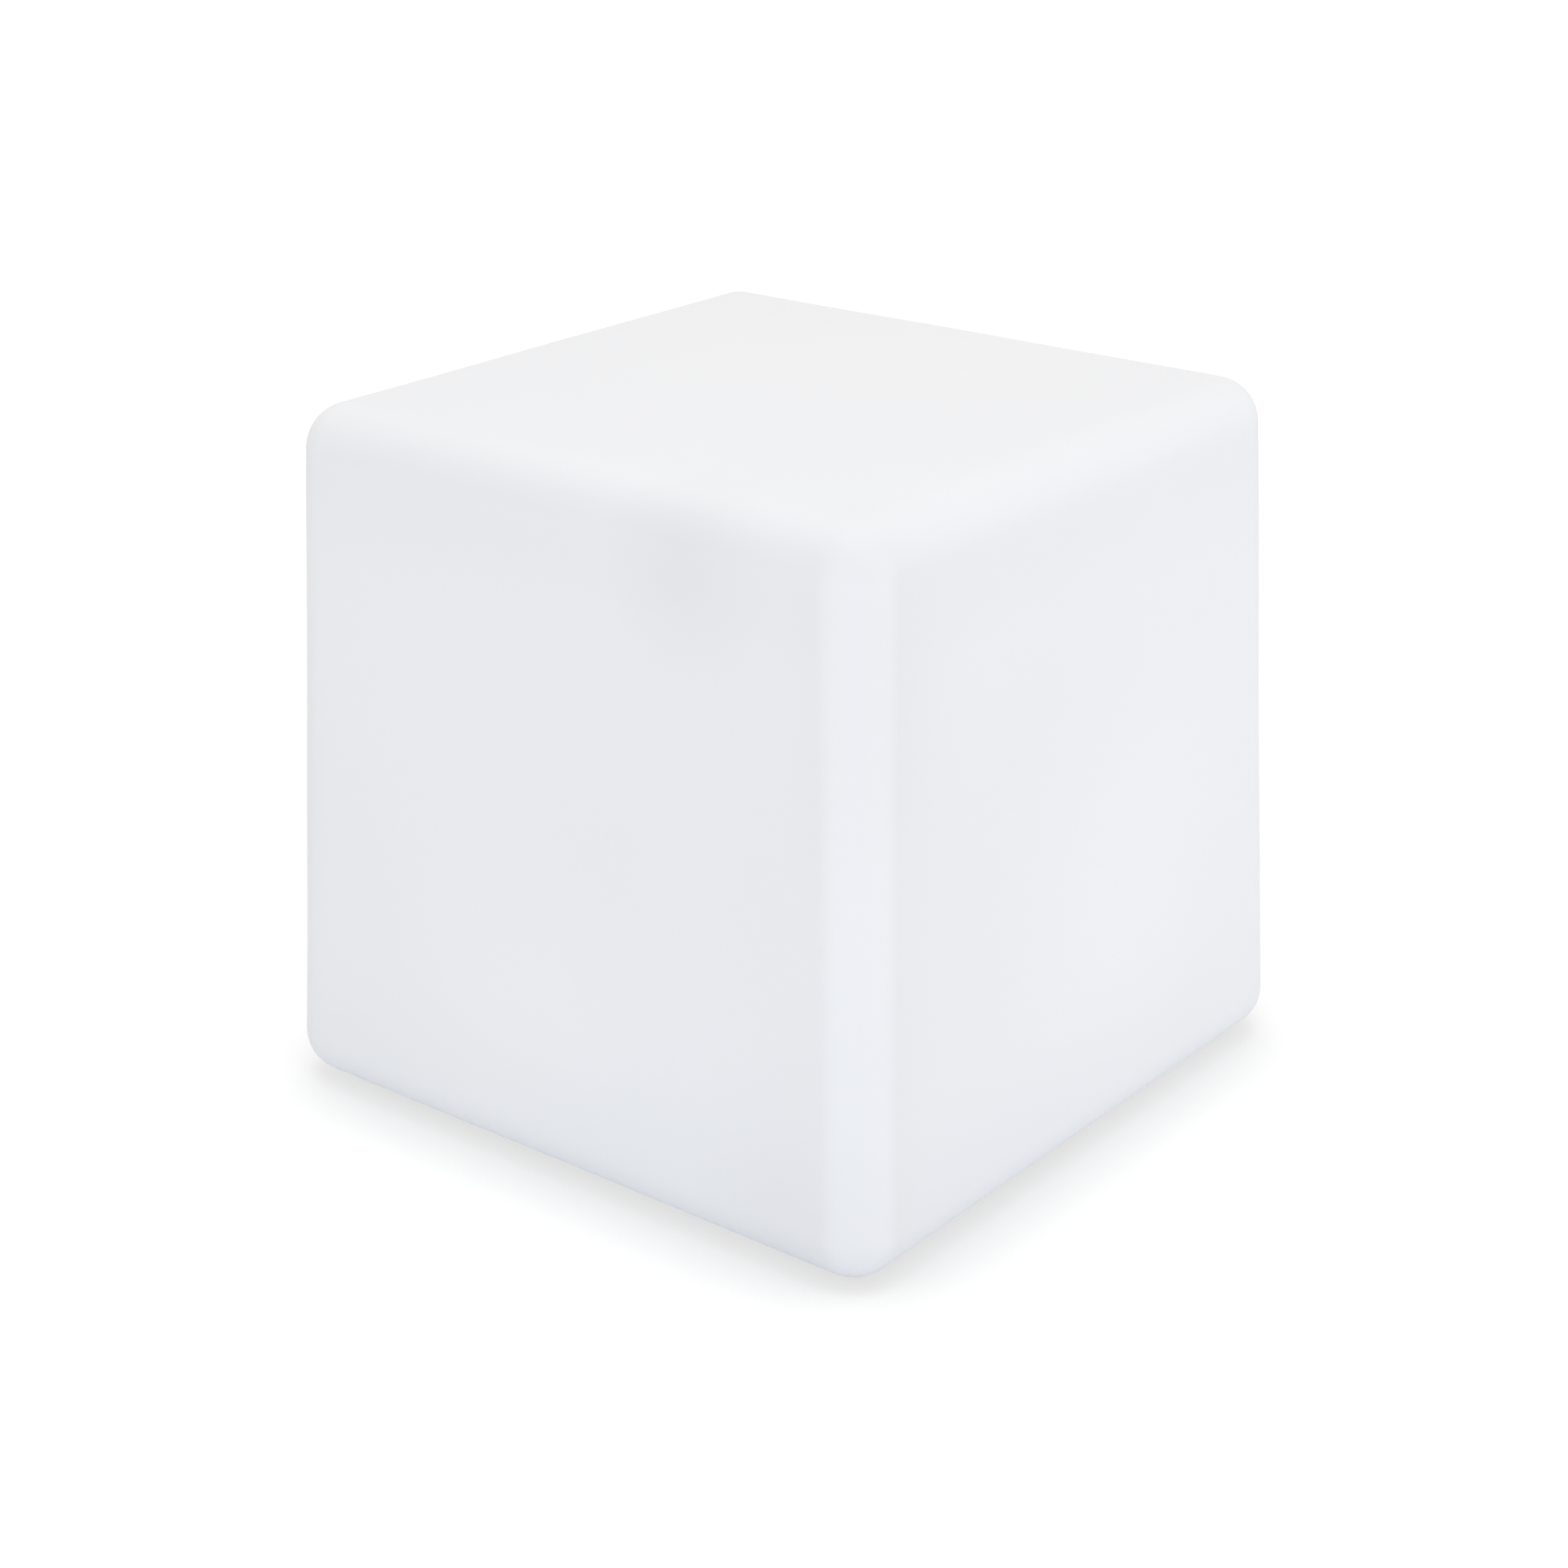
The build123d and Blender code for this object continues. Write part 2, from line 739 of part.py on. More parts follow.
def flap_pin():
    return hinge_bore(hinge_pin_radius, flap_width / 2)


# ================================================================ battery
def lying_rod(y, radius, low, high):
    """A round rod along X at the height of the cells."""
    return Pos(low, y, cell_centre_z) * Rot(0, 90, 0) * extrude(Circle(radius), amount=high - low)


def battery_cells():
    """Two cells side by side, both with the raised end towards +X."""
    made = []
    end = cell_length / 2
    for y in cell_rows:
        cell = lying_rod(y, cell_radius, -end, end)
        cell = fillet(cell.edges().filter_by(GeomType.CIRCLE), cell_edge)
        cell += lying_rod(y, cell_nub_radius, end, end + cell_nub_height)
        made.append(cell)
    return group(made)


def battery_tabs():
    """Nickel strips that join the two cells at each end."""
    made = []
    for x in (strip_face_x[0] + tab_thickness / 2, strip_face_x[1] - tab_thickness / 2):
        strip = Box(tab_thickness, cell_pitch + tab_width, tab_width)
        made.append(Pos(x, battery_centre_y, cell_centre_z) * strip)
    return group(made)


def battery_cradle():
    """Two troughs between end walls, with a screw post each side for the clamp."""
    low = floor_top_z
    high = low + cradle_height
    body = block((0, battery_centre_y), cradle_length, cradle_width, low, high)
    inner = cradle_length - 2 * cradle_wall
    for y in cell_rows:
        body -= lying_rod(y, cell_radius, -inner / 2, inner / 2)
    saddle_z = cell_centre_z - cradle_saddle_drop
    body -= block((0, battery_centre_y), inner, cell_pitch, saddle_z, high)
    pilot_z = clamp_top_z - clamp_screw_length - pilot_extra
    for place in clamp_screw_places:
        post = rod(place, small_head_radius, low, cell_top_z)
        post -= rod(place, small_screw_radius + pilot_clearance, pilot_z, cell_top_z)
        body += post
    return body


def battery_clamps():
    """Two bars over both cells, screwed to the cradle's posts."""
    made = []
    length = 2 * (clamp_screw_offset + small_head_radius)
    hole_radius = small_screw_radius + screw_hole_clearance
    for x in clamp_places_x:
        bar = block((x, battery_centre_y), clamp_width, length, cell_top_z, clamp_top_z)
        bar = fillet(bar.edges().filter_by(Axis.Z), small_head_radius)
        for place in clamp_screw_places:
            bar -= rod(place, hole_radius, cell_top_z, clamp_top_z)
        made.append(bar)
    return group(made)


def battery_clamp_screws():
    return small_screws(clamp_screw_places, clamp_top_z, clamp_screw_length)


# ================================================================ wires inside the housing
def wire(points):
    """A round wire along straight runs joined by tangent arcs."""
    path = FilletPolyline(*points, radius=wire_bend)
    start = Plane(origin=path.position_at(0), z_dir=path.tangent_at(0))
    return sweep(start * Circle(wire_radius), path=path)


def battery_wires():
    """A wire from each end strip, up over the cells and down to the plug on the control board."""
    plug_x, plug_y = battery_connector_place
    foot_z = board_top_z + connector_height - plug_hole_depth
    made = []
    for strip_x, side in zip(strip_face_x, (-1, 1)):
        turn_x = strip_x + side * battery_wire_reach
        down_x = plug_x + side * wire_gap / 2
        high_z = low_wire_z + wire_level_step if side > 0 else low_wire_z
        points = [
            (strip_x, battery_wire_y, cell_centre_z),
            (turn_x, battery_wire_y, cell_centre_z),
            (turn_x, battery_wire_y, high_z),
            (down_x, plug_y, high_z),
            (down_x, plug_y, foot_z),
        ]
        made.append(wire(points))
    return group(made)


def lamp_wires():
    """A pair from its plug, one above the other, up the lamp board's hole and onto its face."""
    plug_x, plug_y = lamp_connector_place
    hole_x, hole_y = lead_hole_place
    foot_z = board_top_z + connector_height - plug_hole_depth
    low_turn_z = board_top_z + connector_height + lamp_wire_rise
    made = []
    for side, turn_z in ((-1, low_turn_z), (1, low_turn_z + wire_gap)):
        shift = side * wire_gap / 2
        points = [
            (plug_x + shift, plug_y, foot_z),
            (plug_x + shift, plug_y, turn_z),
            (hole_x + shift, hole_y, turn_z),
            (hole_x + shift, hole_y, lamp_board_top_z + lead_rise),
            (hole_x + shift, lead_pad_y, lamp_board_top_z + lead_rise),
            (hole_x + shift, lead_pad_y, lamp_board_top_z),
        ]
        made.append(wire(points))
    return group(made)


def socket_wires():
    """A pair from the socket's lugs over to the control board."""
    lug_z = flange_z + socket_length + lug_height
    made = []
    for side in (-1, 1):
        x = socket_place[0] + side * lug_spread
        points = [
            (x, socket_place[1], lug_z),
            (x, socket_place[1], lug_z + socket_wire_rise),
            (x, socket_wire_y, lug_z + socket_wire_rise),
            (x, socket_wire_y, board_top_z),
        ]
        made.append(wire(points))
    return group(made)


parts = {
    "shell": shell,
    "threaded_inserts": threaded_inserts,
    "rubber_feet": rubber_feet,
    "flange_gasket": flange_gasket,
    "module_housing": module_housing,
    "flange_screws": flange_screws,
    "light_dome": light_dome,
    "dome_seal": dome_seal,
    "dome_screws": lambda: small_screws(dome_screw_places, dome_body_z),
    "heat_spreader": heat_spreader,
    "led_board": led_board,
    "led_chips": led_chips,
    "led_board_screws": lambda: small_screws(lamp_post_places, lamp_board_top_z),
    "ir_receiver": ir_receiver,
    "control_board": control_board,
    "control_board_screws": control_board_screws,
    "controller_chip": controller_chip,
    "capacitors": capacitors,
    "board_connectors": board_connectors,
    "power_switch": power_switch,
    "switch_plunger": switch_plunger,
    "power_button": power_button,
    "button_seal": button_seal,
    "indicator_led": indicator_led,
    "light_pipe": light_pipe,
    "charging_jack": charging_jack,
    "jack_nut": jack_nut,
    "port_flap": port_flap,
    "flap_pin": flap_pin,
    "battery_cells": battery_cells,
    "battery_tabs": battery_tabs,
    "battery_cradle": battery_cradle,
    "battery_clamps": battery_clamps,
    "battery_clamp_screws": battery_clamp_screws,
    "battery_wires": battery_wires,
    "lamp_wires": lamp_wires,
    "socket_wires": socket_wires,
}

os.makedirs("parts", exist_ok=True)
for name, make in parts.items():
    export_step(make(), f"parts/{name}.step")
    print("wrote", name)
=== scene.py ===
import json
from math import cos, radians, sin, tan

import bmesh
import bpy
import numpy as np
from mathutils import Matrix, Vector

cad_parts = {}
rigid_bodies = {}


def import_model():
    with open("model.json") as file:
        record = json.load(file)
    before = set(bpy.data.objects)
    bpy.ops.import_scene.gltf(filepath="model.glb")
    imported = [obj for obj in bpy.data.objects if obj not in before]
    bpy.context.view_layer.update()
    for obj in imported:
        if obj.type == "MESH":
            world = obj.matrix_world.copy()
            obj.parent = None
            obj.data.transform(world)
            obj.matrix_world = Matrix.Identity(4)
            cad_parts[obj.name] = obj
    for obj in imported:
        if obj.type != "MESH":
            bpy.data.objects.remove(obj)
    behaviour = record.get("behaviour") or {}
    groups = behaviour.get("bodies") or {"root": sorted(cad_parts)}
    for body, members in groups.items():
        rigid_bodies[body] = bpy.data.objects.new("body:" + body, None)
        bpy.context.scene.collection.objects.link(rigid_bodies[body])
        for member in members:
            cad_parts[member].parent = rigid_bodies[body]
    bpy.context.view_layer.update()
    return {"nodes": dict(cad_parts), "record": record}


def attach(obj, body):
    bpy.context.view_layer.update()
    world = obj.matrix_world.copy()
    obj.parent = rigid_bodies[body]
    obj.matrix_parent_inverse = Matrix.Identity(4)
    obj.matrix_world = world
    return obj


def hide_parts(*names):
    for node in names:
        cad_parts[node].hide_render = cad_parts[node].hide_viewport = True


# A white rotomoulded cube lamp, unlit, on a white ground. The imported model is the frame; the
# shell is a new mesh round it, and the pieces under and inside it get their finishes here.

for oldObject in list(bpy.data.objects):
    bpy.data.objects.remove(oldObject)

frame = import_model()
nodes = frame["nodes"]
print("frame loaded:", len(nodes), "nodes")


def meshFromGrid(name, points):
    # points is rows x columns x 3. Each four neighbours make a face, and the last column joins
    # the first.
    rows, columns = points.shape[:2]
    index = np.arange(rows * columns).reshape(rows, columns)
    beside = np.roll(index, -1, axis=1)
    quads = np.stack([index[:-1], index[1:], beside[1:], beside[:-1]], axis=-1).reshape(-1, 4)
    mesh = bpy.data.meshes.new(name)
    mesh.from_pydata(points.reshape(-1, 3).tolist(), [], quads.tolist())
    return mesh


mergeDistance = 1e-6  # metres


def tidyMesh(mesh, sharpAngle):
    # Doubles merged, which closes a row that has shrunk to a point, faces turned outwards, and
    # all smooth but for edges sharper than the angle in degrees.
    work = bmesh.new()
    work.from_mesh(mesh)
    bmesh.ops.remove_doubles(work, verts=work.verts, dist=mergeDistance)
    bmesh.ops.recalc_face_normals(work, faces=work.faces)
    for face in work.faces:
        face.smooth = True
    for edge in work.edges:
        if len(edge.link_faces) == 2:
            edge.smooth = edge.calc_face_angle() < radians(sharpAngle)
    work.to_mesh(mesh)
    work.free()
    mesh.update()


def addPiece(name, mesh, body, material, replaced=()):
    piece = bpy.data.objects.new(name, mesh)
    bpy.context.scene.collection.objects.link(piece)
    piece.data.materials.append(material)
    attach(piece, body)
    if replaced:
        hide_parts(*replaced)
    return piece


def newGroup(name, inputs, outputs):
    # inputs and outputs give each socket's label and kind
    group = bpy.data.node_groups.new(name, "ShaderNodeTree")
    for direction, sockets in (("INPUT", inputs), ("OUTPUT", outputs)):
        for label, kind in sockets.items():
            group.interface.new_socket(label, in_out=direction, socket_type="NodeSocket" + kind)
    return group, group.nodes.new("NodeGroupInput"), group.nodes.new("NodeGroupOutput")


def addNode(tree, kind, inputs=None, **properties):
    # inputs are socket values by name or number, the rest are the node's own properties
    node = tree.nodes.new(kind)
    for key, value in properties.items():
        setattr(node, key, value)
    for key, value in (inputs or {}).items():
        node.inputs[key].default_value = value
    return node


def smoothStep(tree, value, low, high, lowResult=0.0, highResult=1.0):
    # An S curve from one result to the other as the value goes from low to high.
    curve = addNode(tree, "ShaderNodeMapRange", {
        "From Min": low, "From Max": high, "To Min": lowResult, "To Max": highResult,
    }, interpolation_type="SMOOTHSTEP")
    tree.links.new(value, curve.inputs["Value"])
    return curve.outputs["Result"]


def mathNode(tree, operation, *values):
    # A math node whose values are numbers or other nodes' outputs.
    node = addNode(tree, "ShaderNodeMath", operation=operation)
    for number, value in enumerate(values):
        if isinstance(value, (int, float)):
            node.inputs[number].default_value = value
        else:
            tree.links.new(value, node.inputs[number])
    return node.outputs[0]


grainNoise = {
    "Grain": (3.0, 0.55), "Ripple": (2.0, 0.5), "Cloud": (1.0, 0.4),  # detail and roughness
    "cloudFrom": 0.33, "cloudTo": 0.67,  # noise values between which the cloud mask rises
}


def makeGrainGroup():
    # Moulded plastic's fine skin: two sizes of noise mixed, as a height, and a slow cloud mask.
    group, start, end = newGroup(
        "mouldedGrain",
        {"Position": "Vector", "Grain Scale": "Float", "Ripple Scale": "Float",
         "Ripple Share": "Float", "Cloud Scale": "Float"},
        {"Height": "Float", "Cloud": "Float"},
    )
    link = group.links.new
    noises = {}
    for kind in ("Grain", "Ripple", "Cloud"):
        detail, roughness = grainNoise[kind]
        noise = addNode(group, "ShaderNodeTexNoise", {"Detail": detail, "Roughness": roughness})
        link(start.outputs["Position"], noise.inputs["Vector"])
        link(start.outputs[kind + " Scale"], noise.inputs["Scale"])
        noises[kind] = noise.outputs["Fac"]
    mix = addNode(group, "ShaderNodeMix", data_type="FLOAT")
    link(start.outputs["Ripple Share"], mix.inputs[0])
    link(noises["Grain"], mix.inputs[2])
    link(noises["Ripple"], mix.inputs[3])
    link(mix.outputs[0], end.inputs["Height"])
    cloud = smoothStep(group, noises["Cloud"], grainNoise["cloudFrom"], grainNoise["cloudTo"])
    link(cloud, end.inputs["Cloud"])
    return group


grainGroup = makeGrainGroup()


def makeFinish(name, finish):
    # Two near shades mixed by the cloud, roughness between two values, bump from the grain.
    material = bpy.data.materials.new(name)
    material.use_nodes = True
    tree = material.node_tree
    shader = tree.nodes["Principled BSDF"]
    place = addNode(tree, "ShaderNodeTexCoord")
    grain = addNode(tree, "ShaderNodeGroup", {
        "Grain Scale": finish["grainScale"], "Ripple Scale": finish["rippleScale"],
        "Ripple Share": finish["rippleShare"], "Cloud Scale": finish["cloudScale"],
    }, node_tree=grainGroup)
    # a Mix node takes its two colours at sockets 6 and 7 and gives the mixed one at output 2
    shade = addNode(tree, "ShaderNodeMix", {
        6: (*finish["colour"], 1), 7: (*finish["otherColour"], 1),
    }, data_type="RGBA")
    smoothest, roughest = finish["roughness"]
    rough = addNode(tree, "ShaderNodeMapRange", {"To Min": smoothest, "To Max": roughest})
    bump = addNode(tree, "ShaderNodeBump", {
        "Strength": finish["bumpStrength"], "Distance": finish["bumpDistance"],
    })
    link = tree.links.new
    link(place.outputs["Object"], grain.inputs["Position"])
    link(grain.outputs["Cloud"], shade.inputs[0])
    link(shade.outputs[2], shader.inputs["Base Color"])
    link(grain.outputs["Cloud"], rough.inputs["Value"])
    link(rough.outputs["Result"], shader.inputs["Roughness"])
    link(grain.outputs["Height"], bump.inputs["Height"])
    link(bump.outputs["Normal"], shader.inputs["Normal"])
    for key, value in finish["shader"].items():
        shader.inputs[key].default_value = value
    return material


plainFinish = {
    "grainScale": 900.0, "rippleScale": 60.0, "rippleShare": 0.3, "cloudScale": 12.0,
    "bumpStrength": 0.3, "bumpDistance": 0.00005,  # metres
    "shader": {},  # what is set on the shader's own sockets
}


def finishOf(colour, otherColour, roughness, **others):
    # A plain finish with these colours and roughness, and whatever else differs.
    return {**plainFinish, "colour": colour, "otherColour": otherColour, "roughness": roughness,
            **others}


shell = {
    # metres, and radii where it is round
    "height": 0.3985, "baseZ": 0.0015,
    "width": 0.404, "depth": 0.3955,  # half way up
    "lean": 2.5,  # degrees
    "edge": 0.026, "wall": 0.004,
    "faceSink": 0.0010, "edgeSink": 0.0003, "topSink": 0.0010,
    "recess": 0.106, "recessDepth": 0.009, "lip": 0.003, "opening": 0.079,
    "waveDepth": 0.00008,  # half the swing of a wave of share 1, and all of it is inwards
    "waves": [
        # the cooled skin's slow waves: radians in a metre along X, Y and Z, start, share
        ((31, 17, 12), 0.6, 1.0),
        ((-19, 23, 37), 2.1, 1.0),
        ((47, -41, 29), 4.0, 0.5),
    ],
    "cornerColumns": 20, "sideColumns": 36,
    "topRows": 24, "edgeRows": 16, "sideRows": 44, "baseRows": 10, "lipRows": 6,
    "sharpAngle": 50,  # degrees
}


def shellColumns():
    # Round the plan, four corners and four sides: a point of the core rectangle, as shares of its
    # half sizes, the heading of the outward normal, and the place along the side from -1 to 1.
    shareX, shareY, heading, along = [], [], [], []
    signs = [(1, 1), (-1, 1), (-1, -1), (1, -1)]
    for turn in range(4):
        signX, signY = signs[turn]
        nextX, nextY = signs[(turn + 1) % 4]
        corner = np.linspace(0, 1, shell["cornerColumns"])
        side = np.linspace(0, 1, shell["sideColumns"] + 2)[1:-1]
        shareX += [np.full_like(corner, signX), signX + (nextX - signX) * side]
        shareY += [np.full_like(corner, signY), signY + (nextY - signY) * side]
        heading += [(turn + corner) * np.pi / 2, np.full_like(side, (turn + 1) * np.pi / 2)]
        along += [np.ones_like(corner), 2 * side - 1]
    return [np.concatenate(part) for part in (shareX, shareY, heading, along)]


def hump(share):
    # 1 in the middle, 0 with no slope at the ends: the square of a cosine.
    return np.cos(np.clip(share, -1, 1) * np.pi / 2) ** 2


def makeShellMesh():
    # A ball of the edge's radius carried over a core block with leaning sides. Down the rows: over
    # the top from its middle, round the top edge, down the sides, round the bottom edge, in along
    # the base to a circle, up the recess and in along its ledge to the opening.
    lean = tan(radians(shell["lean"]))
    ball = shell["edge"]
    lowZ = shell["baseZ"] + ball
    highZ = shell["baseZ"] + shell["height"] - ball
    middleZ = shell["baseZ"] + shell["height"] / 2
    inset = ball / cos(radians(shell["lean"]))
    waveShares = sum(share for _, _, share in shell["waves"])
    shareX, shareY, heading, along = shellColumns()
    # how far the leaning sides' normals point above level, more at the corners
    sideRise = np.arctan(lean * (abs(np.cos(heading)) + abs(np.sin(heading))))

    def coreHalf(size, z):
        return size / 2 - (z - middleZ) * lean - inset

    def place(coreZ, rise, scale):
        # rise is the normal's angle above level, scale shrinks the core towards its middle
        x = coreHalf(shell["width"], coreZ) * shareX * scale + ball * np.cos(rise) * np.cos(heading)
        y = coreHalf(shell["depth"], coreZ) * shareY * scale + ball * np.cos(rise) * np.sin(heading)
        z = coreZ + ball * np.sin(rise) + 0 * x
        normal = np.stack([np.cos(rise) * np.cos(heading), np.cos(rise) * np.sin(heading),
                           np.sin(rise) + 0 * x], axis=-1)
        return np.stack([x, y, z], axis=-1), normal

    rows = []

    def addRow(points, normal, sink):
        # the points sunk along their normals, by the face's hollow and the sum of the sine waves
        wave = sum(share * np.sin(points @ np.array(turns) + start)
                   for turns, start, share in shell["waves"])
        rows.append(points + normal * (shell["waveDepth"] * (wave - waveShares) - sink)[:, None])

    for scale in np.linspace(0, 1, shell["topRows"]):
        points, normal = place(highZ, np.full_like(heading, np.pi / 2), scale)
        addRow(points, normal, shell["topSink"] * hump(shareX * scale) * hump(shareY * scale))
    for share in np.linspace(0, 1, shell["edgeRows"])[1:]:
        points, normal = place(highZ, np.pi / 2 + (sideRise - np.pi / 2) * share, 1)
        addRow(points, normal, 0)
    for share in np.linspace(0, 1, shell["sideRows"])[1:]:
        points, normal = place(highZ + (lowZ - highZ) * share, sideRise, 1)
        bow = hump(2 * share - 1)
        addRow(points, normal, bow * (shell["edgeSink"] + shell["faceSink"] * hump(along)))
    for share in np.linspace(0, 1, shell["edgeRows"])[1:]:
        points, normal = place(lowZ, sideRise + (-np.pi / 2 - sideRise) * share, 1)
        addRow(points, normal, 0)
    baseLoop = rows[-1]
    # each column's bearing from the middle of the plan
    outline, _ = place(lowZ, np.zeros_like(heading), 1)
    bearing = np.arctan2(outline[:, 1], outline[:, 0])

    def circleRow(radius, z):
        return np.stack([radius * np.cos(bearing), radius * np.sin(bearing), z + 0 * bearing], axis=-1)

    mouth = shell["recess"] + shell["lip"]
    for share in np.linspace(0, 1, shell["baseRows"])[1:]:
        rows.append(baseLoop + (circleRow(mouth, shell["baseZ"]) - baseLoop) * share)
    for share in np.linspace(0, 1, shell["lipRows"])[1:]:
        turn = share * np.pi / 2
        rows.append(circleRow(mouth - shell["lip"] * np.sin(turn),
                              shell["baseZ"] + shell["lip"] * (1 - np.cos(turn))))
    ledgeZ = shell["baseZ"] + shell["recessDepth"]
    rows.append(circleRow(shell["recess"], ledgeZ))
    rows.append(circleRow(shell["opening"], ledgeZ))
    return meshFromGrid("shellBody", np.stack(rows))


boss = {
    # metres
    "circle": 0.090, "radius": 0.0065, "top": 0.0225, "chamfer": 0.0013,
    "count": 6, "columns": 24,
    "sharpAngle": 40,  # degrees
}


def makeBossMesh():
    # Blind round bosses inside the base: a profile of radius and height spun round each one.
    foot = shell["baseZ"] + shell["recessDepth"] + shell["wall"] / 2
    profile = np.array([[0.0, boss["top"]], [boss["radius"] - boss["chamfer"], boss["top"]],
                        [boss["radius"], boss["top"] - boss["chamfer"]],
                        [boss["radius"], foot], [0.0, foot]])
    spin = np.linspace(0, 2 * np.pi, boss["columns"], endpoint=False)
    joined = bmesh.new()
    for turn in np.arange(boss["count"]) * 2 * np.pi / boss["count"]:
        x = profile[:, :1] * np.cos(spin) + boss["circle"] * np.cos(turn)
        y = profile[:, :1] * np.sin(spin) + boss["circle"] * np.sin(turn)
        z = profile[:, 1:] + 0 * x
        part = meshFromGrid("bossPart", np.stack([x, y, z], axis=-1))
        joined.from_mesh(part)
        bpy.data.meshes.remove(part)
    mesh = bpy.data.meshes.new("insertBosses")
    joined.to_mesh(mesh)
    joined.free()
    return mesh


skin = {
    "finish": finishOf(
        (0.902, 0.900, 0.914), (0.890, 0.892, 0.907), (0.52, 0.60),
        grainScale=420.0, rippleScale=130.0, rippleShare=0.45, cloudScale=4.5,
        bumpStrength=0.25, bumpDistance=0.00012,
        shader={"Subsurface Weight": 0.12, "Subsurface Scale": 0.004,
                "Subsurface Radius": (1.0, 1.0, 1.0), "IOR": 1.5},
    ),
    # metres in from where the two faces would meet if the front upright edge were sharp
    "edgeFrom": 0.030, "edgeTo": 0.019, "paintedEdgeHighlight": 1.042,  # a painted highlight along the edge
    "marginFrom": 0.120, "marginTo": 0.046, "paintedMarginShade": 0.992,  # painted shade on the flats beside it
    "baseFrom": 0.105, "baseTo": 0.012, "paintedBaseShade": 0.965,  # heights, painted shade towards the base
    "topFrom": 0.368, "topTo": 0.400,  # heights, where the painted highlight ends
    "patches": [
        # middle, reach along X, Y and Z, tone at the middle, below 1 darker and above 1 lighter
        ((0.000, 0.000, 0.360), (9.000, 9.000, 0.048), 0.986),  # painted shade in a band below the top edge
        ((0.000, -0.192, 0.386), (0.600, 0.050, 0.017), 0.957),  # front: painted shade along and below the top edge and by the near lower corner, painted highlight low in the middle
        ((0.084, -0.192, 0.362), (0.062, 0.060, 0.074), 0.955),
        ((0.180, -0.200, 0.020), (0.110, 0.060, 0.130), 0.958),
        ((-0.010, -0.200, 0.105), (0.120, 0.060, 0.110), 1.014),
        ((0.195, -0.175, 0.300), (0.060, 0.060, 0.150), 0.964),  # right: painted shade near the front edge, painted highlight further back
        ((0.205, -0.180, 0.130), (0.060, 0.045, 0.120), 0.980),
        ((0.205, 0.035, 0.150), (0.060, 0.150, 0.200), 1.024),
        ((0.205, 0.165, 0.030), (0.060, 0.080, 0.080), 1.024),
        ((0.195, -0.190, 0.030), (0.045, 0.045, 0.110), 1.010),  # painted highlight at the front edge's foot
        ((-0.090, 0.192, 0.320), (0.080, 0.060, 0.100), 0.968),  # back, uneven tone
        ((0.110, 0.200, 0.120), (0.130, 0.060, 0.110), 1.012),
        ((-0.200, 0.060, 0.130), (0.060, 0.110, 0.090), 0.974),  # left, uneven tone
        ((-0.198, -0.193, 0.200), (0.035, 0.035, 0.260), 0.966),  # its edge to the front, painted shade
    ],
}


def makeSkinGroup():
    # A factor on the wall's colour: a painted highlight along the front upright edge, painted shade
    # on the flats beside it and towards the base, and soft patches of painted shade and highlight and
    # of uneven tone.
    group, start, end = newGroup("paintedLightAndTone", {"Position": "Vector"}, {"Tone": "Float"})
    link = group.links.new
    place = addNode(group, "ShaderNodeSeparateXYZ")
    link(start.outputs["Position"], place.inputs[0])
    height = place.outputs[2]
    # the two half sizes added, at this height, less x - y: zero where the two faces would meet
    leanBoth = 2 * tan(radians(shell["lean"]))
    middleZ = shell["baseZ"] + shell["height"] / 2
    halvesAtFloor = (shell["width"] + shell["depth"]) / 2 + middleZ * leanBoth
    halves = mathNode(group, "MULTIPLY_ADD", height, -leanBoth, halvesAtFloor)
    across = mathNode(group, "SUBTRACT", place.outputs[0], place.outputs[1])
    inwards = mathNode(group, "SUBTRACT", halves, across)
    # painted shade on the flats beside the front upright edge
    shadeBeside = smoothStep(group, inwards, skin["marginTo"], skin["marginFrom"], skin["paintedMarginShade"], 1.0)
    # painted highlight along the front upright edge, fading out below the top
    edge = smoothStep(group, inwards, skin["edgeTo"], skin["edgeFrom"], 1.0, 0.0)
    below = smoothStep(group, height, skin["topFrom"], skin["topTo"], 1.0, 0.0)
    paintedHighlight = mathNode(group, "MULTIPLY_ADD", mathNode(group, "MULTIPLY", edge, below),
                    skin["paintedEdgeHighlight"] / skin["paintedMarginShade"] - 1, 1.0)
    # painted shade towards the base
    base = smoothStep(group, height, skin["baseTo"], skin["baseFrom"], skin["paintedBaseShade"], 1.0)
    tone = mathNode(group, "MULTIPLY", mathNode(group, "MULTIPLY", paintedHighlight, shadeBeside), base)
    # soft patches of painted shade, painted highlight and uneven tone
    for middle, reach, depth in skin["patches"]:
        away = addNode(group, "ShaderNodeVectorMath", {1: middle}, operation="SUBTRACT")
        share = addNode(group, "ShaderNodeVectorMath", {1: reach}, operation="DIVIDE")
        length = addNode(group, "ShaderNodeVectorMath", operation="LENGTH")
        link(start.outputs["Position"], away.inputs[0])
        link(away.outputs[0], share.inputs[0])
        link(share.outputs[0], length.inputs[0])
        patch = smoothStep(group, length.outputs["Value"], 0.0, 1.0, depth, 1.0)
        tone = mathNode(group, "MULTIPLY", tone, patch)
    link(tone, end.inputs["Tone"])
    return group


def toneSkin(material):
    # The painted light and shade, with the uneven tone, scale the colour on its way to the shader.
    tree = material.node_tree
    link = tree.links.new
    shader = tree.nodes["Principled BSDF"]
    colour = shader.inputs["Base Color"].links[0].from_socket
    tone = addNode(tree, "ShaderNodeGroup", node_tree=makeSkinGroup())
    scale = addNode(tree, "ShaderNodeVectorMath", operation="SCALE")
    place = addNode(tree, "ShaderNodeTexCoord")
    link(place.outputs["Object"], tone.inputs["Position"])
    link(colour, scale.inputs[0])
    link(tone.outputs["Tone"], scale.inputs["Scale"])
    link(scale.outputs[0], shader.inputs["Base Color"])


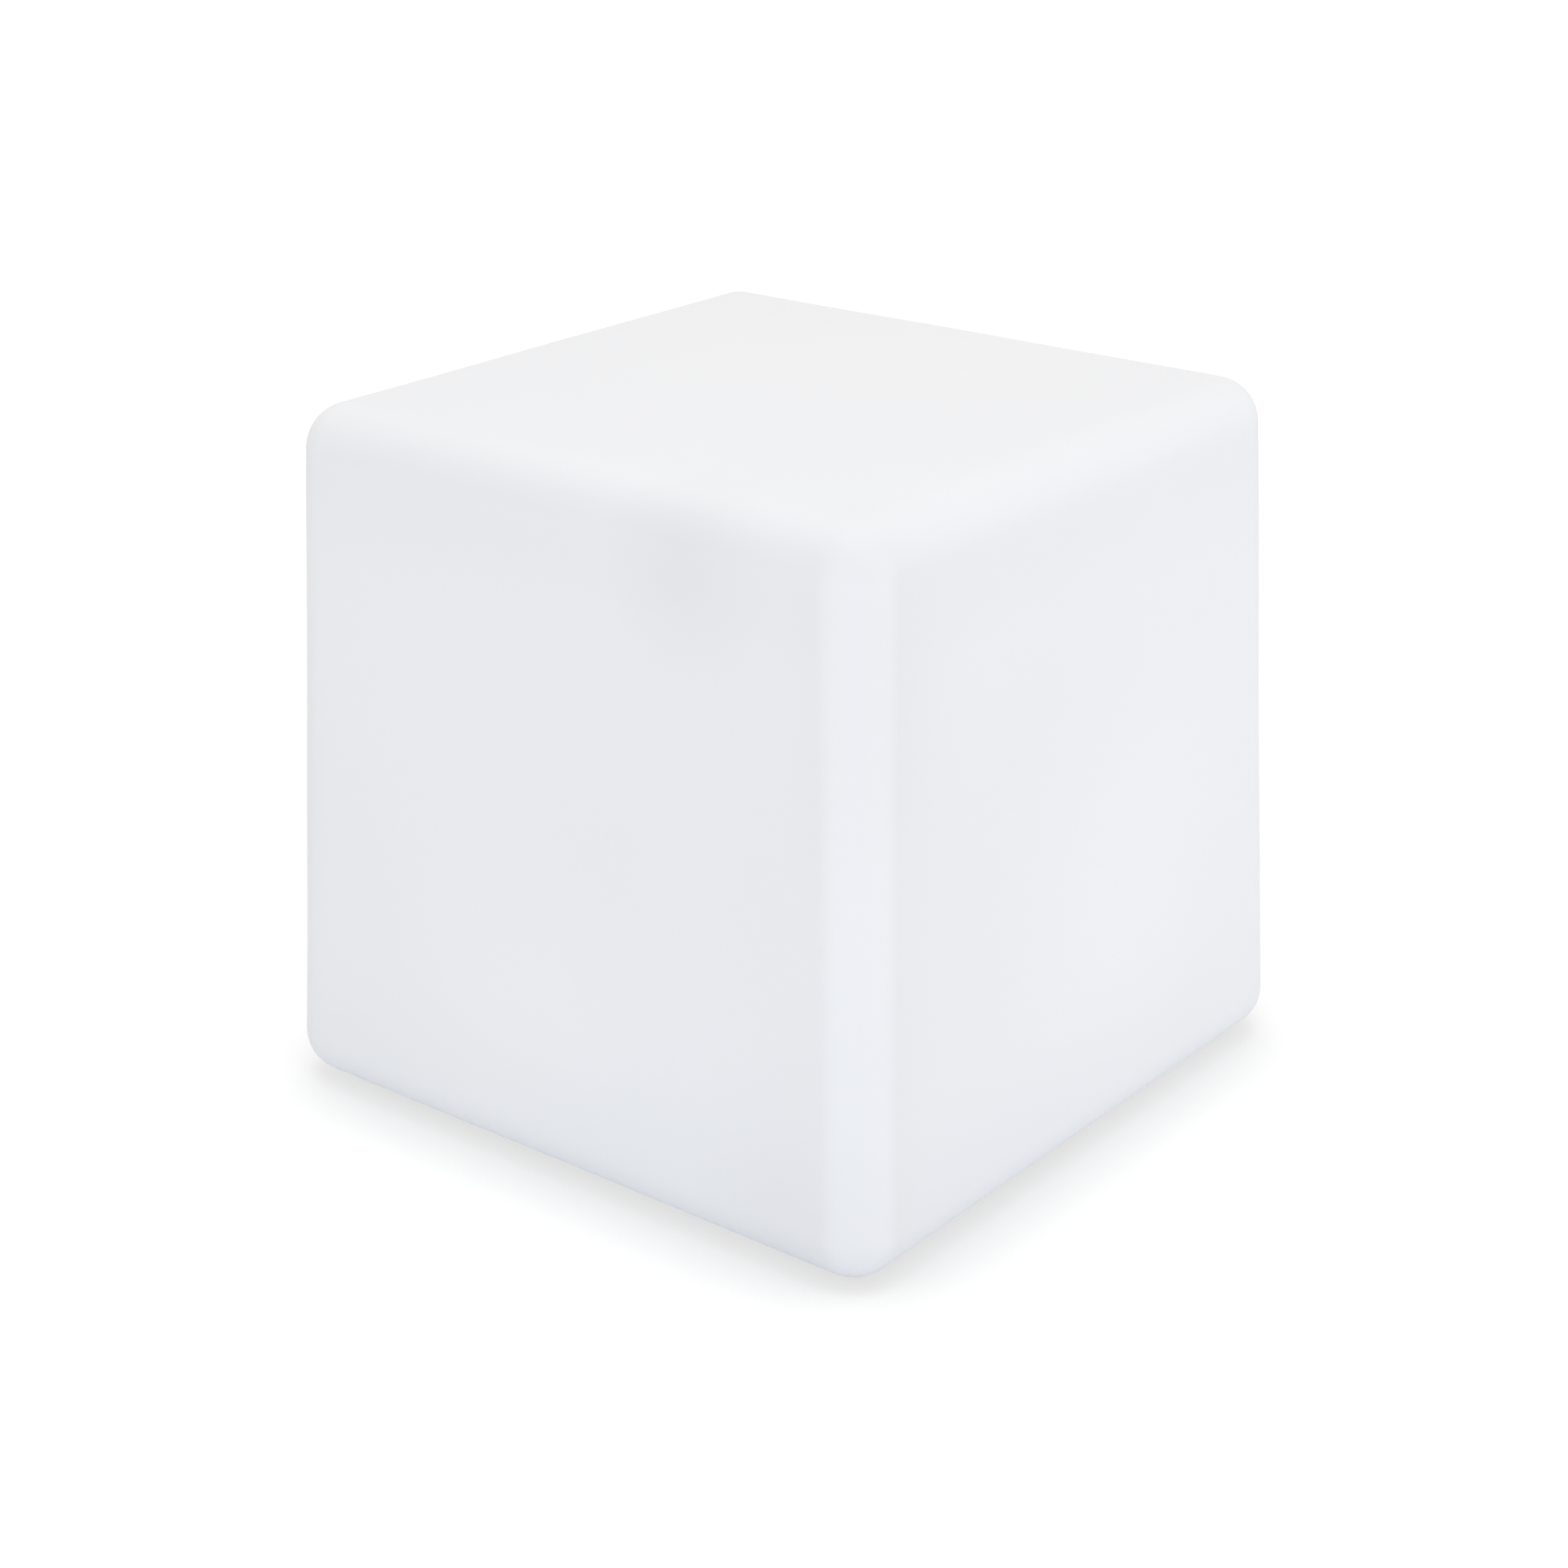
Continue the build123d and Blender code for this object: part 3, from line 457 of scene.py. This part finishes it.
shellMaterial = makeFinish("shellPlastic", skin["finish"])
toneSkin(shellMaterial)
shellMesh = makeShellMesh()
tidyMesh(shellMesh, shell["sharpAngle"])
shellPiece = addPiece("shellSkin", shellMesh, "lamp", shellMaterial, ["shell"])
wall = shellPiece.modifiers.new("wall", "SOLIDIFY")
wall.thickness = shell["wall"]
wall.offset = -1
bossMesh = makeBossMesh()
tidyMesh(bossMesh, boss["sharpAngle"])
addPiece("insertBosses", bossMesh, "lamp", shellMaterial)
print("shell made:", len(shellMesh.vertices), "points")


metal = {"Metallic": 1.0}
frosted = {"Transmission Weight": 0.6}
clear = {"Transmission Weight": 0.9}
darkRubber = finishOf((0.11, 0.113, 0.118), (0.13, 0.133, 0.138), (0.5, 0.62), bumpStrength=0.4)
finishes = {
    # each material slot: two shades, roughness between two values, and what else differs
    "brass": finishOf((0.62, 0.42, 0.16), (0.55, 0.36, 0.13), (0.25, 0.4), shader=metal),
    "foot_rubber": finishOf((0.30, 0.305, 0.31), (0.26, 0.265, 0.27), (0.6, 0.75), bumpStrength=0.5),
    "seal_rubber": finishOf((0.02, 0.02, 0.021), (0.03, 0.03, 0.031), (0.5, 0.62)),
    "housing_plastic": finishOf((0.78, 0.79, 0.80), (0.74, 0.75, 0.765), (0.42, 0.55),
                                grainScale=2600.0, bumpStrength=0.6),
    "screw_steel": finishOf((0.58, 0.58, 0.57), (0.50, 0.50, 0.50), (0.24, 0.38), shader=metal),
    "dome_plastic": finishOf((0.88, 0.90, 0.91), (0.86, 0.88, 0.90), (0.3, 0.4), shader=frosted),
    "spreader_aluminium": finishOf((0.72, 0.73, 0.74), (0.66, 0.67, 0.68), (0.3, 0.45), shader=metal),
    "white_board": finishOf((0.80, 0.80, 0.78), (0.76, 0.76, 0.74), (0.35, 0.45)),
    "lamp_chip": finishOf((0.86, 0.82, 0.55), (0.84, 0.80, 0.52), (0.25, 0.35)),
    "black_plastic": finishOf((0.018, 0.018, 0.019), (0.028, 0.028, 0.03), (0.38, 0.5),
                              bumpStrength=0.5),
    "green_board": finishOf((0.01, 0.10, 0.035), (0.015, 0.13, 0.045), (0.3, 0.4)),
    "capacitor_sleeve": finishOf((0.01, 0.015, 0.06), (0.015, 0.02, 0.08), (0.25, 0.35)),
    "connector_plastic": finishOf((0.78, 0.74, 0.64), (0.74, 0.70, 0.60), (0.4, 0.5)),
    "button_rubber": darkRubber,
    "clear_plastic": finishOf((0.92, 0.94, 0.95), (0.90, 0.92, 0.93), (0.08, 0.14), shader=clear),
    "nut_metal": finishOf((0.66, 0.64, 0.58), (0.60, 0.58, 0.53), (0.2, 0.32), shader=metal),
    "flap_rubber": darkRubber,
    "cell_sleeve": finishOf((0.02, 0.10, 0.30), (0.025, 0.12, 0.34), (0.22, 0.3)),
    "wire_sleeve": finishOf((0.35, 0.01, 0.01), (0.30, 0.01, 0.01), (0.4, 0.5)),
}
slotOf = {entry["node"]: entry["material_slot"] for entry in frame["record"]["subparts"]}
madeFinishes = {name: makeFinish(name, finish) for name, finish in finishes.items()}
for nodeName, node in nodes.items():
    if nodeName == "shell":
        continue
    node.data.materials.clear()
    node.data.materials.append(madeFinishes[slotOf[nodeName]])
print("finishes given")


def seenRays(tree):
    # 1 for rays that show a surface: from the camera, in a reflection or through glass.
    rays = addNode(tree, "ShaderNodeLightPath").outputs
    direct = mathNode(tree, "MAXIMUM", rays["Is Camera Ray"], rays["Is Glossy Ray"])
    return mathNode(tree, "MAXIMUM", direct, rays["Is Transmission Ray"])


ground = {
    "size": 12.0, "colour": (0.880, 0.915, 0.960),
    "realShare": 0.25,  # how much of the real light and shadow the camera sees on it
    "white": 0.820, "contactDark": 0.618,  # the glow it sees, in the open and beside the lamp
    "contactReach": 0.076,  # metres from a point within which the lamp darkens it
    "contactFrom": 0.39, "contactTo": 0.99,  # how much of the sky is open there, 1 is all
    "contactSamples": 24,
    "underGlow": 0.34,  # the floor's own light below the base
    "underFrom": 0.150, "underTo": 0.206,  # metres from the middle, where that light fades out
}


def makeGround():
    # A white floor. The camera sees it as plain white with the lamp's own soft shadow: a share of
    # the real light, and a glow that fades where the lamp is close by. To the lamp it is a matt
    # floor with a weak light of its own under the base, which would be in the dark without it.
    # From below it is clear.
    half = ground["size"] / 2
    mesh = bpy.data.meshes.new("ground")
    corners = [(-half, -half, 0), (half, -half, 0), (half, half, 0), (-half, half, 0)]
    mesh.from_pydata(corners, [], [(0, 1, 2, 3)])
    floor = bpy.data.objects.new("ground", mesh)
    bpy.context.scene.collection.objects.link(floor)
    material = bpy.data.materials.new("whiteGround")
    material.use_nodes = True
    tree = material.node_tree
    tree.nodes.clear()
    link = tree.links.new

    shadowed = addNode(tree, "ShaderNodeBsdfDiffuse", {"Color": (*[ground["realShare"]] * 3, 1)})
    near = addNode(tree, "ShaderNodeAmbientOcclusion", {"Distance": ground["contactReach"]},
                   samples=ground["contactSamples"])
    fade = smoothStep(tree, near.outputs["AO"], ground["contactFrom"], ground["contactTo"],
                      ground["contactDark"], ground["white"])
    glow = addNode(tree, "ShaderNodeEmission")
    seen = addNode(tree, "ShaderNodeAddShader")
    link(fade, glow.inputs["Strength"])
    link(shadowed.outputs[0], seen.inputs[0])
    link(glow.outputs[0], seen.inputs[1])

    place = addNode(tree, "ShaderNodeTexCoord")
    spread = addNode(tree, "ShaderNodeVectorMath", operation="ABSOLUTE")
    split = addNode(tree, "ShaderNodeSeparateXYZ")
    link(place.outputs["Object"], spread.inputs[0])
    link(spread.outputs[0], split.inputs[0])
    away = mathNode(tree, "MAXIMUM", split.outputs[0], split.outputs[1])
    underFade = smoothStep(tree, away, ground["underFrom"], ground["underTo"],
                           ground["underGlow"], 0.0)
    matt = addNode(tree, "ShaderNodeBsdfDiffuse", {"Color": (*ground["colour"], 1)})
    underLight = addNode(tree, "ShaderNodeEmission")
    real = addNode(tree, "ShaderNodeAddShader")
    link(underFade, underLight.inputs["Strength"])
    link(matt.outputs[0], real.inputs[0])
    link(underLight.outputs[0], real.inputs[1])

    above = addNode(tree, "ShaderNodeMixShader")
    link(seenRays(tree), above.inputs[0])
    link(real.outputs[0], above.inputs[1])
    link(seen.outputs[0], above.inputs[2])
    side = addNode(tree, "ShaderNodeNewGeometry")
    gone = addNode(tree, "ShaderNodeBsdfTransparent")
    both = addNode(tree, "ShaderNodeMixShader")
    link(side.outputs["Backfacing"], both.inputs[0])
    link(above.outputs[0], both.inputs[1])
    link(gone.outputs[0], both.inputs[2])
    out = addNode(tree, "ShaderNodeOutputMaterial")
    link(both.outputs[0], out.inputs["Surface"])
    floor.data.materials.append(material)


light = {
    "sky": (0.868, 0.818, 0.783),
    "lamps": {
        # name: place and width in metres, power in watts, colour
        "topSoft": ((0.60, -0.60, 2.80), 1.6, 13.8, (0.578, 0.843, 1.0)),
        "frontLow": ((1.70, -1.90, 0.45), 1.4, 4.92, (0.498, 0.750, 1.0)),
        "rightFill": ((1.05, 0.75, 0.30), 0.5, 0.887, (0.813, 0.922, 1.0)),
        "leftFill": ((-0.80, -1.05, 0.35), 0.5, 0.19, (0.05, 0.91, 1.0)),
    },
}


def makeSky():
    # Even light from all round, and plain white behind the lamp.
    world = bpy.data.worlds.new("whiteRoom")
    bpy.context.scene.world = world
    world.use_nodes = True
    tree = world.node_tree
    tree.nodes.clear()
    room = addNode(tree, "ShaderNodeBackground", {"Color": (*light["sky"], 1)})
    behind = addNode(tree, "ShaderNodeBackground", {"Color": (1, 1, 1, 1)})
    mix = addNode(tree, "ShaderNodeMixShader")
    out = addNode(tree, "ShaderNodeOutputWorld")
    link = tree.links.new
    link(seenRays(tree), mix.inputs[0])
    link(room.outputs[0], mix.inputs[1])
    link(behind.outputs[0], mix.inputs[2])
    link(mix.outputs[0], out.inputs["Surface"])


def makeLamps():
    # Round soft lamps that all face the cube's middle.
    middle = Vector((0, 0, shell["height"] / 2))
    for name, (place, width, power, colour) in light["lamps"].items():
        data = bpy.data.lights.new(name, "AREA")
        data.shape = "DISK"
        data.size = width
        data.energy = power
        data.color = colour
        lamp = bpy.data.objects.new(name, data)
        lamp.location = place
        lamp.rotation_mode = "QUATERNION"
        lamp.rotation_quaternion = (middle - lamp.location).to_track_quat("-Z", "Y")
        bpy.context.scene.collection.objects.link(lamp)


camera = {
    "azimuth": 38.55, "elevation": 22.13, "roll": -0.21,  # degrees
    "lens": 68.93, "sensor": 36.0,  # millimetres
    # metres from the lens to the shell's middle, beside, below and along its axis
    "across": 0.0031, "below": -0.0302, "distance": 1.7060,
    "farthest": 50.0,  # metres that it sees
}


def makeCamera():
    # The photograph's view: right, lower and ahead are the picture's axes in the room, turned by
    # the azimuth, tipped by the elevation and rolled.
    turn, dip, roll = (radians(camera[key]) for key in ("azimuth", "elevation", "roll"))
    side = np.array([cos(turn), sin(turn), 0])
    level = np.array([-sin(turn), cos(turn), 0])
    down = np.array([0, 0, -1.0])
    lower = cos(dip) * down - sin(dip) * level
    ahead = sin(dip) * down + cos(dip) * level
    right = cos(roll) * side - sin(roll) * lower
    lower = sin(roll) * side + cos(roll) * lower
    middle = np.array([0, 0, shell["baseZ"] + shell["height"] / 2])
    eye = middle - camera["across"] * right - camera["below"] * lower - camera["distance"] * ahead
    data = bpy.data.cameras.new("photoCamera")
    data.lens = camera["lens"]
    data.sensor_width = camera["sensor"]
    data.clip_end = camera["farthest"]
    view = bpy.data.objects.new("photoCamera", data)
    bpy.context.scene.collection.objects.link(view)
    matrix = np.eye(4)
    matrix[:3] = np.stack([right, -lower, -ahead, eye], axis=1)
    view.matrix_world = Matrix(matrix.tolist())
    bpy.context.scene.camera = view


makeGround()
makeSky()
makeLamps()
makeCamera()
bpy.context.scene.view_settings.view_transform = "Standard"
print("ground, light and camera set")
